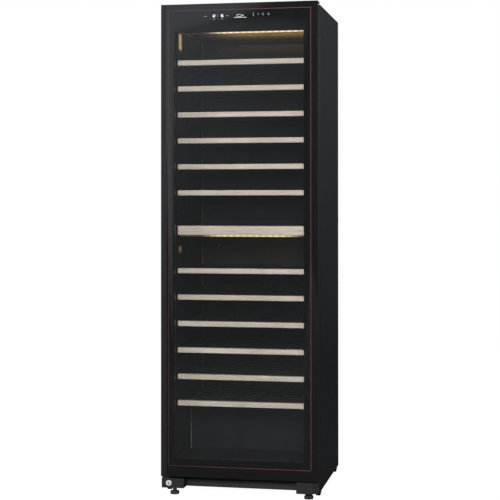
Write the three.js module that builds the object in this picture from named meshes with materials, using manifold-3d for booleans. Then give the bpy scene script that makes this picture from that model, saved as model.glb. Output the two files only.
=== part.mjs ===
// Tall two-zone wine cooler: insulated steel cabinet, glazed door, slatted wooden shelves.
// Millimetres, +Z up, front facing -Y, X to the right. Origin: middle of the footprint, on the floor.
// Inside the appliance group Y is the depth behind the face of the door.
import * as THREE from 'three';
import { mergeVertices } from 'three/addons/utils/BufferGeometryUtils.js';
import loadManifold from 'manifold-3d';

const wasm = await loadManifold();
wasm.setup();

// overall size
const WIDTH = 595;
const DEPTH = 576;
const HEIGHT = 1835;
const HALF = WIDTH / 2;
const GAP = 0.3; // fitting gap between neighbouring pieces

// cabinet shell
const SHEET = 1; // painted steel
const LINER = 1.5; // moulded plastic
const CABINET_FRONT = 60; // depth of the cabinet's front face
const CABINET_TOP = 1827.7;
const PANEL_BOTTOM = 20; // lower edge of the side panels
const PAN_BOTTOM = 40;
const PAN_TOP = 42;

// inside space
const INNER_HALF = 262; // half the clear width between the liner walls
const CEILING = 1755;
const FLOOR = 115;
const BACK = 528;
const STEP_Y = 335; // face of the step over the machine bay
const STEP_TOP = 300;
const BAY_Y = 370;
const BAY_TOP = 264;

// door
const DOOR_BOTTOM = 67;
const DOOR_REAR = 50;
const GLASS = 5;
const EDGE_X = -275; // where the grip profile meets the glass
const WINDOW_HALF = 245.5;
const WINDOW_BOTTOM = 137;
const WINDOW_TOP = 1730;
const PANE_Y = 22;
const PANE = 6;
const HINGE_X = 275;
const HINGE_Y = 22;
const PIN_R = 4;

// shelves
const SHELF_HALF = 253.5;
const SHELF_FRONT = 85;
const SHELF_DEPTH = 400;
const SHELF_H = 20;
const UPPER_TOPS = [1634, 1535, 1436, 1337, 1238, 1139];
const LOWER_TOPS = [842.6, 742, 641.4, 540.8, 440.2, 339.6];
const DIVIDER_TOP = 1004;
const DIVIDER_H = 35;

// running gear, feet and lock
const WHEEL_R = 19;
const WHEEL_W = 17;
const WHEEL_SIDES = 28;
const AXLE_Z = WHEEL_R * Math.cos(Math.PI / WHEEL_SIDES); // a flat of the wheel rests on the floor
const WHEEL_X = 285.2;
const FRONT_AXLE_Y = 92;
const REAR_AXLE_Y = 535;
const LOCK = { x: -267.2, z: 42.8 };
const FOOT_LEFT = { x: -247.8, y: 19.5 };
const FOOT_RIGHT = { x: 258.5, y: 32 };

const paint = (color, roughness, metalness = 0) =>
  new THREE.MeshStandardMaterial({ color, roughness, metalness });

// ---- shapes ----

function box(x0, x1, y0, y1, z0, z1) {
  const shape = new THREE.BoxGeometry(x1 - x0, y1 - y0, z1 - z0);
  return shape.translate((x0 + x1) / 2, (y0 + y1) / 2, (z0 + z1) / 2);
}

function outline(points, holes = []) {
  const toPath = (list) => list.map(([x, y]) => new THREE.Vector2(x, y));
  const shape = new THREE.Shape(toPath(points));
  shape.holes = holes.map((hole) => new THREE.Path(toPath(hole)));
  return shape;
}

// plan outline (x, y) raised from z0 to z1
function upright(points, z0, z1, holes = []) {
  const solid = new THREE.ExtrudeGeometry(outline(points, holes), { depth: z1 - z0, bevelEnabled: false });
  return solid.translate(0, 0, z0);
}

// front outline (x, z) run back from y0 to y1
function inward(points, y0, y1, holes = []) {
  const solid = new THREE.ExtrudeGeometry(outline(points, holes), { depth: y1 - y0, bevelEnabled: false });
  return solid.rotateX(Math.PI / 2).translate(0, y1, 0);
}

// side outline (y, z) run across from x0 to x1
function across(points, x0, x1) {
  const solid = new THREE.ExtrudeGeometry(outline(points), { depth: x1 - x0, bevelEnabled: false });
  const turn = new THREE.Matrix4().makeBasis(
    new THREE.Vector3(0, 1, 0),
    new THREE.Vector3(0, 0, 1),
    new THREE.Vector3(1, 0, 0),
  );
  return solid.applyMatrix4(turn).translate(x0, 0, 0);
}

const rectangle = (x0, x1, z0, z1) => [[x0, z0], [x1, z0], [x1, z1], [x0, z1]];

function rod(radius, length, sides, axis) {
  const solid = new THREE.CylinderGeometry(radius, radius, length, sides);
  if (axis === 'x') solid.rotateZ(Math.PI / 2);
  if (axis === 'z') solid.rotateX(Math.PI / 2);
  return solid;
}

// (radius, height) profile turned about the Z axis
function turned(profile, sides) {
  const points = profile.map(([r, z]) => new THREE.Vector2(r, z));
  return new THREE.LatheGeometry(points, sides).rotateX(Math.PI / 2);
}

// ---- joins and cuts ----

function toSolid(geometry) {
  const bare = new THREE.BufferGeometry();
  bare.setAttribute('position', geometry.getAttribute('position').clone());
  bare.setIndex(geometry.getIndex());
  const welded = mergeVertices(bare, 1e-4);
  const triVerts = [];
  const index = welded.getIndex().array;
  for (let i = 0; i < index.length; i += 3) {
    const [a, b, c] = [index[i], index[i + 1], index[i + 2]];
    if (a !== b && b !== c && c !== a) triVerts.push(a, b, c);
  }
  const mesh = new wasm.Mesh({
    numProp: 3,
    vertProperties: new Float32Array(welded.getAttribute('position').array),
    triVerts: new Uint32Array(triVerts),
  });
  return new wasm.Manifold(mesh);
}

function fromSolid(solid) {
  const mesh = solid.getMesh();
  const geometry = new THREE.BufferGeometry();
  geometry.setAttribute('position', new THREE.BufferAttribute(new Float32Array(mesh.vertProperties), 3));
  geometry.setIndex(new THREE.BufferAttribute(new Uint32Array(mesh.triVerts), 1));
  geometry.computeVertexNormals();
  return geometry;
}

const join = (...pieces) => fromSolid(wasm.Manifold.union(pieces.map(toSolid)));

const cut = (body, ...tools) => fromSolid(toSolid(body).subtract(wasm.Manifold.union(tools.map(toSolid))));

// ---- scene ----

const cooler = new THREE.Group();
cooler.name = 'wine_cooler';
const appliance = new THREE.Group();
appliance.position.y = -DEPTH / 2;
cooler.add(appliance);

function add(name, geometry, material, x = 0, y = 0, z = 0) {
  const mesh = new THREE.Mesh(geometry, material);
  mesh.name = name;
  mesh.position.set(x, y, z);
  appliance.add(mesh);
}

const blackSteel = () => paint(0x2a2a2d, 0.42, 0.35);
const foam = () => paint(0xe6dfc4, 0.95);
const liner = () => paint(0x1d1e20, 0.6);
const wood = () => paint(0xc9b79f, 0.65);
const steel = () => paint(0xb9bcc0, 0.3, 0.9);
const blackPlastic = () => paint(0x1b1b1d, 0.5);
const rubber = () => paint(0x222222, 0.9);

// ---- cabinet skin ----

// side sheet in plan: front flange, bent corner, long side, rear flange
function sideSheet(side) {
  const bend = 3;
  const outer = [];
  const inner = [];
  for (let i = 0; i <= 3; i += 1) {
    const a = (i * Math.PI) / 6;
    outer.push([HALF - bend + bend * Math.sin(a), CABINET_FRONT + bend - bend * Math.cos(a)]);
    const r = bend - SHEET;
    inner.unshift([HALF - bend + r * Math.sin(a), CABINET_FRONT + bend - r * Math.cos(a)]);
  }
  const rear = DEPTH - SHEET - GAP;
  const points = [
    [INNER_HALF + 0.8, CABINET_FRONT],
    ...outer,
    [HALF, rear],
    [HALF - 20, rear],
    [HALF - 20, rear - SHEET],
    [HALF - SHEET, rear - SHEET],
    ...inner,
    [INNER_HALF + 0.8, CABINET_FRONT + SHEET],
  ];
  return upright(points.map(([x, y]) => [side * x, y]), PANEL_BOTTOM, CABINET_TOP - SHEET - GAP);
}

add('left_side_panel', sideSheet(-1), blackSteel());
add('right_side_panel', sideSheet(1), blackSteel());

const topFlange = box(-INNER_HALF - 0.5, INNER_HALF + 0.5, CABINET_FRONT, CABINET_FRONT + SHEET,
  CEILING + GAP, CABINET_TOP);
const topSheet = box(-HALF, HALF, CABINET_FRONT, DEPTH, CABINET_TOP - SHEET, CABINET_TOP);
add('top_panel', join(topSheet, topFlange), blackSteel());

add('rear_panel', box(-HALF + GAP, HALF - GAP, DEPTH - SHEET, DEPTH, BAY_TOP - 2, CABINET_TOP - SHEET - GAP),
  blackSteel());

// lower front crossmember: its lower half shows under the door as the kick strip
const sill = box(-INNER_HALF - 0.5, INNER_HALF + 0.5, CABINET_FRONT, CABINET_FRONT + 1.2, 22, FLOOR - 0.2);
const sillLip = box(-INNER_HALF - 0.5, INNER_HALF + 0.5, CABINET_FRONT, CABINET_FRONT + 15, 22, 23.2);
add('front_crossmember', join(sill, sillLip), blackSteel());

// base pan with four welded roller forks and their axles
const panParts = [box(-HALF + 1.3, HALF - 1.3, CABINET_FRONT + 3.5, DEPTH - 2.6, PAN_BOTTOM, PAN_TOP)];
for (const side of [-1, 1]) {
  for (const y of [FRONT_AXLE_Y, REAR_AXLE_Y]) {
    for (const ear of [-10, 10]) {
      const x = side * WHEEL_X + ear;
      panParts.push(box(x - 0.9, x + 0.9, y - 9, y + 9, 12, PAN_BOTTOM + 1));
    }
    panParts.push(rod(3, 21.6, 10, 'x').translate(side * WHEEL_X, y, AXLE_Z));
  }
}
add('base_pan', join(...panParts), paint(0x77797c, 0.4, 0.8));

// louvred rear cover of the machine bay, cut out round the power inlet
const grilleCuts = [box(214, 262, DEPTH - 3, DEPTH + 1, 47, 79)];
for (let row = 0; row < 7; row += 1) {
  for (const x of [-180, 0, 180]) {
    const z = 108 + row * 20;
    grilleCuts.push(box(x - 75, x + 75, DEPTH - 3, DEPTH + 1, z, z + 8));
  }
}
add('machine_bay_grille',
  cut(box(-HALF + GAP, HALF - GAP, DEPTH - SHEET, DEPTH, 24, BAY_TOP - 2 - GAP), ...grilleCuts),
  blackSteel());

// ---- insulation ----

const foamOuter = HALF - SHEET - GAP;
const foamInner = INNER_HALF + LINER + GAP;
const foamFront = CABINET_FRONT + SHEET + GAP;
const foamRear = DEPTH - 2 * SHEET - 2 * GAP;
const foamTop = CABINET_TOP - SHEET - GAP;
const sideFoam = [
  [CABINET_FRONT + 3.5, PAN_TOP + GAP],
  [BAY_Y, PAN_TOP + GAP],
  [BAY_Y, STEP_TOP],
  [foamRear, STEP_TOP],
  [foamRear, foamTop],
  [CABINET_FRONT + 3.5, foamTop],
];
add('foam_left', across(sideFoam, -foamOuter, -foamInner), foam());
add('foam_right', across(sideFoam, foamInner, foamOuter), foam());

const coreHalf = foamInner - GAP;
add('foam_top', box(-coreHalf, coreHalf, foamFront, BACK + LINER, CEILING + LINER + GAP, foamTop), foam());
add('foam_rear', box(-coreHalf, coreHalf, BACK + LINER + GAP, foamRear, STEP_TOP + GAP, foamTop), foam());
const floorFoam = [
  [CABINET_FRONT + 1.5, PAN_TOP + GAP],
  [BAY_Y, PAN_TOP + GAP],
  [BAY_Y, BAY_TOP],
  [foamRear, BAY_TOP],
  [foamRear, STEP_TOP - LINER - GAP],
  [STEP_Y + LINER + GAP, STEP_TOP - LINER - GAP],
  [STEP_Y + LINER + GAP, FLOOR - LINER - GAP],
  [CABINET_FRONT + 1.5, FLOOR - LINER - GAP],
];
add('foam_floor', across(floorFoam, -coreHalf, coreHalf), foam());

// ---- liner ----

// side wall of the liner, with a moulded runner under each shelf and under the divider
function sideLiner(side) {
  const wall = across([
    [foamFront, FLOOR],
    [STEP_Y, FLOOR],
    [STEP_Y, STEP_TOP + GAP],
    [BACK, STEP_TOP + GAP],
    [BACK, CEILING],
    [foamFront, CEILING],
  ], INNER_HALF, INNER_HALF + LINER);
  const runner = (top, y0) => box(INNER_HALF - 17, INNER_HALF + 0.5, y0, 478, top - 6, top);
  const runners = [...UPPER_TOPS, ...LOWER_TOPS].map((top) => runner(top - SHELF_H - GAP, 118));
  runners.push(runner(DIVIDER_TOP - DIVIDER_H + 2 - GAP, 130));
  const solid = join(wall, ...runners);
  return side > 0 ? solid : fromSolid(toSolid(solid).mirror([1, 0, 0]));
}
add('liner_left', sideLiner(-1), liner());
add('liner_right', sideLiner(1), liner());

const linerHalf = INNER_HALF - GAP;
add('liner_ceiling', box(-linerHalf, linerHalf, foamFront, BACK, CEILING, CEILING + LINER), liner());
add('liner_rear', box(-linerHalf, linerHalf, BACK, BACK + LINER, STEP_TOP + GAP, CEILING - GAP), liner());
add('liner_floor', across([
  [foamFront + 0.2, FLOOR - LINER],
  [STEP_Y + LINER, FLOOR - LINER],
  [STEP_Y + LINER, STEP_TOP - LINER],
  [BACK + LINER, STEP_TOP - LINER],
  [BACK + LINER, STEP_TOP],
  [STEP_Y, STEP_TOP],
  [STEP_Y, FLOOR],
  [foamFront + 0.2, FLOOR],
], -linerHalf, linerHalf), liner());

// ---- zone divider ----

add('zone_divider', box(-linerHalf + 0.5, linerHalf - 0.5, 100, BACK - 1, DIVIDER_TOP - DIVIDER_H + 2,
  DIVIDER_TOP - 2), paint(0x2c2b2a, 0.6));
add('divider_front_trim', box(-SHELF_HALF, SHELF_HALF, SHELF_FRONT, 100 - GAP, DIVIDER_TOP - DIVIDER_H,
  DIVIDER_TOP), wood());

// ---- shelves ----

// slatted shelf, its top face at z = 0: front rail, two runners, rear rail, five cross slats
function shelf() {
  const rear = SHELF_FRONT + SHELF_DEPTH;
  const parts = [box(-SHELF_HALF, SHELF_HALF, SHELF_FRONT, SHELF_FRONT + 20, -SHELF_H, 0)];
  for (const side of [-1, 1]) {
    const x = side * (SHELF_HALF - 9);
    parts.push(box(x - 9, x + 9, SHELF_FRONT + 19, rear, -SHELF_H, -2));
  }
  parts.push(box(-SHELF_HALF + 17, SHELF_HALF - 17, rear - 20, rear, -SHELF_H, -2));
  for (let i = 0; i < 5; i += 1) {
    const y = SHELF_FRONT + 48 + i * 66;
    parts.push(box(-SHELF_HALF + 17, SHELF_HALF - 17, y, y + 38, -14, -4));
  }
  return join(...parts);
}
const shelfShape = shelf();
[...UPPER_TOPS, ...LOWER_TOPS].forEach((top, i) => {
  add(`shelf_${String(i + 1).padStart(2, '0')}`, shelfShape, wood(), 0, 0, top);
});

// ---- air ducts, fans, evaporators, lights ----

// moulded duct cover: open behind, round fan inlet with bars, outlet slots, motor bridge with a shaft
function ductCover(z0, z1, fanZ) {
  const half = 200;
  const front = 497;
  const rear = BACK - 0.5;
  const shell = box(-half, half, front, rear, z0, z1);
  const tools = [
    box(-half + 2.5, half - 2.5, front + 2.5, rear + 1, z0 + 2.5, z1 - 2.5),
    rod(52, 10, 24, 'y').translate(0, front, fanZ),
  ];
  for (const row of [0, 1, 2]) {
    for (const x of [-130, 130]) {
      tools.push(box(x - 45, x + 45, front - 1, front + 4, fanZ - 30 + row * 26, fanZ - 22 + row * 26));
    }
  }
  const parts = [cut(shell, ...tools)];
  for (const offset of [-26, 0, 26]) {
    parts.push(box(-54, 54, front, front + 2.5, fanZ + offset - 2, fanZ + offset + 2));
  }
  parts.push(box(-half + 2, half - 2, 516, 521, fanZ - 8, fanZ + 8));
  parts.push(rod(15, 8, 16, 'y').translate(0, 518, fanZ));
  parts.push(rod(2.5, 12, 8, 'y').translate(0, 510, fanZ));
  return join(...parts);
}

// five-bladed axial rotor about the Y axis
function rotor() {
  const parts = [rod(17, 9, 16, 'y')];
  for (let i = 0; i < 5; i += 1) {
    const blade = box(14, 48, -0.7, 0.7, -11, 11).rotateX(0.5);
    parts.push(blade.rotateY((i * 2 * Math.PI) / 5));
  }
  return cut(join(...parts), rod(2.9, 12, 8, 'y'));
}

// roll-bond evaporator plate with a raised serpentine channel
function evaporator(z0, z1) {
  const parts = [box(-150, 150, 523, 525, z0, z1)];
  const rows = 6;
  const pitch = (z1 - z0 - 24) / (rows - 1);
  for (let i = 0; i < rows; i += 1) {
    const z = z0 + 12 + i * pitch;
    parts.push(box(-135, 135, 520, 523.5, z - 4, z + 4));
    if (i > 0) {
      const x = i % 2 ? 131 : -131;
      parts.push(box(x - 4, x + 4, 520, 523.5, z - pitch, z));
    }
  }
  return join(...parts);
}

const rotorShape = rotor();
const zones = [
  ['upper', 1030, 1735, 1585],
  ['lower', 310, 940, 790],
];
for (const [zone, z0, z1, fanZ] of zones) {
  add(`duct_cover_${zone}`, ductCover(z0, z1, fanZ), paint(0x232426, 0.6));
  add(`fan_rotor_${zone}`, rotorShape, paint(0x33353a, 0.5), 0, 507, fanZ);
  add(`evaporator_${zone}`, evaporator(z0 + 60, fanZ - 120), paint(0xa9adb0, 0.4, 0.8));
}

// light bar behind a frosted cover, run across the front
const lightBar = (drop) => across([[0, 0], [5, -drop], [17, -drop], [22, 0]], -250, 250);
const lit = () => {
  const material = paint(0xfff0cf, 0.4);
  material.emissive = new THREE.Color(0xffe2a8);
  material.emissiveIntensity = 2;
  return material;
};
add('light_bar_upper', lightBar(19), lit(), 0, 90, CEILING - GAP);
add('light_bar_lower', lightBar(8), lit(), 0, 102, DIVIDER_TOP - DIVIDER_H + 2 - GAP);

// ---- door ----

add('door_outer_glass', box(EDGE_X + GAP, HALF, 0, GLASS, DOOR_BOTTOM, HEIGHT), paint(0x141416, 0.06));

// vertical grip profile on the free edge, with a finger recess open to the side
const gripPlan = [
  [-HALF + 2, 0],
  [EDGE_X, 0],
  [EDGE_X, DOOR_REAR],
  [-290, DOOR_REAR],
  [-290, 45],
  [-284, 43],
  [-284, 22],
  [-HALF, 17],
  [-HALF, 2],
];
const CORNER_R = 3.5;
const cornerWaste = [[-HALF - 1, DOOR_BOTTOM - 1], [-HALF + CORNER_R, DOOR_BOTTOM - 1]];
for (let i = 0; i <= 4; i += 1) {
  const a = (i * Math.PI) / 8;
  cornerWaste.push([-HALF + CORNER_R * (1 - Math.sin(a)), DOOR_BOTTOM + CORNER_R * (1 - Math.cos(a))]);
}
cornerWaste.push([-HALF - 1, DOOR_BOTTOM + CORNER_R]);
add('door_grip_profile',
  cut(upright(gripPlan, DOOR_BOTTOM, HEIGHT), inward(cornerWaste, -1, DOOR_REAR + 1)),
  paint(0x3a3b3c, 0.45, 0.6));

// door frame: ring of four bars with the glazing rebate, control pocket, hinge notch and pin holes
const frameFront = GLASS + GAP;
const frameRing = inward(
  rectangle(EDGE_X + GAP, HALF - GAP, DOOR_BOTTOM + GAP, HEIGHT - GAP), frameFront, DOOR_REAR,
  [rectangle(-WINDOW_HALF, WINDOW_HALF, WINDOW_BOTTOM, WINDOW_TOP)]);
const rebate = box(-WINDOW_HALF - 8, WINDOW_HALF + 8, PANE_Y, DOOR_REAR + 1,
  WINDOW_BOTTOM - 8, WINDOW_TOP + 8);
const controlPocket = box(-142, 142, 0, 32, WINDOW_TOP + 22, HEIGHT - 17);
const hingeNotch = box(232, HALF + 1, 7, DOOR_REAR + 1, HEIGHT - 14, HEIGHT - 7.4);
const flangeNotch = box(232, HALF + 1, 40, DOOR_REAR + 1, HEIGHT - 38, HEIGHT - 7.4);
const pinHole = (z) => rod(PIN_R + 0.5, 50, 16, 'z').translate(HINGE_X, HINGE_Y, z);
add('door_frame',
  cut(frameRing, rebate, controlPocket, hingeNotch, flangeNotch, pinHole(DOOR_BOTTOM), pinHole(HEIGHT - 33)),
  paint(0x1c1d1f, 0.5, 0.2));

add('door_inner_pane',
  box(-WINDOW_HALF - 8 + GAP, WINDOW_HALF + 8 - GAP, PANE_Y + GAP, PANE_Y + GAP + PANE,
    WINDOW_BOTTOM - 8 + GAP, WINDOW_TOP + 8 - GAP),
  paint(0x2a3033, 0.05));

// magnetic gasket, a closed ring between the door frame and the cabinet front
add('door_gasket',
  inward(rectangle(-277, 277, 88, 1777), DOOR_REAR + GAP, CABINET_FRONT - 0.5,
    [rectangle(-258, 258, 107, 1758)]),
  rubber());

// touch control board in its tray behind the header
const board = box(-138, 138, 9, 28, WINDOW_TOP + 26, HEIGHT - 21);
const displayBlock = box(-120, 125, 5.8, 9.5, WINDOW_TOP + 42, HEIGHT - 34);
add('control_module', join(board, displayBlock), paint(0x10151a, 0.4));

// ---- hinges ----

const upperArm = upright([[HINGE_X - 7, HINGE_Y - 7], [HINGE_X + 7, HINGE_Y - 7], [HINGE_X + 7, 52],
  [HINGE_X + 17, 59.7], [HINGE_X - 25, 59.7], [HINGE_X - 7, 52]], HEIGHT - 11, HEIGHT - 8);
const upperFlange = box(HINGE_X - 25, HINGE_X + 17, 57.2, 59.7, HEIGHT - 36, HEIGHT - 8);
const upperPin = rod(PIN_R, 22, 16, 'z').translate(HINGE_X, HINGE_Y, HEIGHT - 19);
add('upper_hinge_bracket', join(upperArm, upperFlange, upperPin), steel());

// boxed lower bracket with a lip round its foot: carries the door pin on top and the levelling foot below
const bracketOuter = [[216, 5], [275, 5], [HALF - 1, 26], [HALF - 1, 59.7], [216, 59.7]];
const bracketInner = [[218, 7], [274.2, 7], [HALF - 3, 27], [HALF - 3, 57.7], [218, 57.7]];
const lipOuter = [[216, 1], [276, 1], [HALF - 1, 22], [HALF - 1, 30], [216, 30]];
const lipInner = [[218, 3], [275.2, 3], [HALF - 3, 23], [HALF - 3, 32], [218, 32]];
const bracketShell = cut(
  join(upright(bracketOuter, 22, 63), upright(lipOuter, 22, 39)),
  join(upright(bracketInner, 20, 60), upright(lipInner, 20, 37)));
const footBoss = (x, y, z0, z1) => cut(rod(8, z1 - z0, 16, 'z').translate(x, y, (z0 + z1) / 2),
  rod(4.4, z1 - z0 + 4, 12, 'z').translate(x, y, (z0 + z1) / 2 - 3));
const lowerPin = rod(PIN_R, 26, 16, 'z').translate(HINGE_X, HINGE_Y, 74);
add('lower_hinge_bracket',
  join(bracketShell, footBoss(FOOT_RIGHT.x, FOOT_RIGHT.y, 40, 61), lowerPin), paint(0x3b3b3a, 0.45, 0.6));

// ---- door lock ----

const lockShell = cut(
  box(-294.6, -209.5, 2, 59.7, 24.5, 59.5),
  box(-292.6, -211.5, 4, 61, 20, 57),
  rod(9.4, 12, 20, 'y').translate(LOCK.x, 3, LOCK.z),
  box(-275, -244, 32.2, 37.4, 52, 61));
add('lock_housing', join(lockShell, footBoss(FOOT_LEFT.x, FOOT_LEFT.y, 32, 57.5)), paint(0x363636, 0.5, 0.4));

const barrel = rod(9, 31, 20, 'y').translate(0, 16.5, 0);
const rosette = rod(11, 1.4, 24, 'y').translate(0, 1, 0);
const keyway = box(-1, 1, 0, 5, -4, 4);
const camSeat = rod(4, 6, 6, 'y').translate(0, 34.5, 0);
add('lock_cylinder', join(cut(join(barrel, rosette), keyway), camSeat), steel(), LOCK.x, 0, LOCK.z);

// tongue on the back of the barrel: lies to the side when unlocked
const tongue = cut(
  join(rod(7, 2.4, 16, 'y').translate(0, 34.8, 0), box(0, 22, 33.6, 36, -4.5, 4.5)),
  rod(4.3, 6, 6, 'y').translate(0, 34.8, 0));
add('lock_cam', tongue, steel(), LOCK.x, 0, LOCK.z);

// striker tab under the door, which the raised tongue catches
add('door_striker',
  across([[39, 61], [41, 61], [41, 65.4], [49, 65.4], [49, 67], [39, 67]], LOCK.x - 8, LOCK.x + 8),
  steel());

// ---- feet and rollers ----

add('levelling_foot_left',
  turned([[0, 0], [15.5, 0], [17, 1.5], [17, 9], [15.5, 11.5], [8, 13], [8, 23], [4, 23], [4, 52], [0, 52]], 20),
  rubber(), FOOT_LEFT.x, FOOT_LEFT.y);
add('levelling_foot_right',
  turned([[0, 0], [16.5, 0], [17.5, 1.5], [17, 8], [13.5, 14], [8, 18.5], [4, 20], [4, 56], [0, 56]], 20),
  rubber(), FOOT_RIGHT.x, FOOT_RIGHT.y);

const wheelShape = turned([[3.4, -WHEEL_W / 2], [17.5, -WHEEL_W / 2], [WHEEL_R, -WHEEL_W / 2 + 1.5],
  [WHEEL_R, WHEEL_W / 2 - 1.5], [17.5, WHEEL_W / 2], [3.4, WHEEL_W / 2], [3.4, -WHEEL_W / 2]], WHEEL_SIDES)
  .rotateY(Math.PI / 2).rotateX(Math.PI / WHEEL_SIDES);
for (const [end, y] of [['front', FRONT_AXLE_Y], ['rear', REAR_AXLE_Y]]) {
  add(`roller_${end}_left`, wheelShape, rubber(), -WHEEL_X, y, AXLE_Z);
  add(`roller_${end}_right`, wheelShape, rubber(), WHEEL_X, y, AXLE_Z);
}

// ---- machine bay ----

// hermetic compressor on a footed plate
const compressorParts = [
  turned([[0, 12], [52, 12], [62, 24], [64, 60], [64, 100], [58, 140], [38, 162], [0, 168]], 20),
  box(-92, 92, -48, 48, 8, 12.5),
  box(56, 82, -22, 22, 70, 120),
];
for (const x of [-78, 78]) {
  for (const y of [-34, 34]) {
    compressorParts.push(rod(9, 8.5, 10, 'z').translate(x, y, 4.5));
  }
}
add('compressor', join(...compressorParts), paint(0x17181a, 0.45, 0.3), -165, 474, PAN_TOP);

// condenser: ten tubes between two end plates
const condenserParts = [
  box(-112, -110, -22, 22, 0, 170),
  box(110, 112, -22, 22, 0, 170),
];
for (let i = 0; i < 5; i += 1) {
  for (const y of [-11, 11]) {
    condenserParts.push(rod(4, 236, 6, 'x').translate(0, y, 25 + i * 30));
  }
}
add('condenser', join(...condenserParts), paint(0x3a3c3e, 0.5, 0.5), 110, 474, PAN_TOP + GAP);

// appliance inlet for a mains lead, set in the rear cover
const inletBody = join(box(216, 260, 546, DEPTH, 49, 77), box(210, 266, 571, 574.6, 44, 82));
add('power_inlet', cut(inletBody, box(220, 256, 560, DEPTH + 1, 53, 73)), blackPlastic());

export default cooler;
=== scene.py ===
"""Tall two-zone wine cooler: tinted glass door, touch panel, slatted shelves, lock, feet and rollers.

Shapes are given in millimetres: x to the right, d the depth behind the door's face, z up.
"""
import math

import bmesh
import bpy
from mathutils import Matrix, Vector


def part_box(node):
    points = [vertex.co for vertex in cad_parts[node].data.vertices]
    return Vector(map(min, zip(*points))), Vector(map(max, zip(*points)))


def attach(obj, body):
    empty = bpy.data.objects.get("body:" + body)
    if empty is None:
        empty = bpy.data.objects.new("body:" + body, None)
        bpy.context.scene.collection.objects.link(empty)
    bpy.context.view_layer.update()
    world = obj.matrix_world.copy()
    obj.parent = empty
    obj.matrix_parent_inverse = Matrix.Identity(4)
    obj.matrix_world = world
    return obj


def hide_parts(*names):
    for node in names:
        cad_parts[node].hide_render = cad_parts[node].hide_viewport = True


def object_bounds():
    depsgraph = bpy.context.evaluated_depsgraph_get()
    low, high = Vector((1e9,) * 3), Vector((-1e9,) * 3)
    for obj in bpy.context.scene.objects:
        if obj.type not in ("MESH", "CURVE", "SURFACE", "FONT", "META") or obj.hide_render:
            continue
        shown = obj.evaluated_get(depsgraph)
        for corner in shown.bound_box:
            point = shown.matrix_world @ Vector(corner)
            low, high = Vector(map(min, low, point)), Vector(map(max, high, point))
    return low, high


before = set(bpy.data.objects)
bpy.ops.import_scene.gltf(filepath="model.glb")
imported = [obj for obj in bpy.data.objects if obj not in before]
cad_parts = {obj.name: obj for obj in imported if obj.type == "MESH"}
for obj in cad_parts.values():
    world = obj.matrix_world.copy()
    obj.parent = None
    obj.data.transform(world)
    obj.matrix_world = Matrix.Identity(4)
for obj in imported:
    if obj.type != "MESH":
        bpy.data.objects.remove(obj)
cad_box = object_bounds()
scene = bpy.context.scene

MM = 0.001
FACE_Y = cad_box[0][1]  # the door's face in the row frame
REAR_SKIN = 574.8  # outer face of the rear sheets, under their ribs and screw heads
SHARP_FROM = 34  # faces that meet at more degrees than this keep a hard edge between them


def span(node):
    """(x0, x1, d0, d1, z0, z1) of a CAD node at rest, in millimetres."""
    low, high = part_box(node)
    return [(corner[i] - (0, FACE_Y, 0)[i]) / MM for i in range(3) for corner in (low, high)]


# ---- shapes


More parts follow.
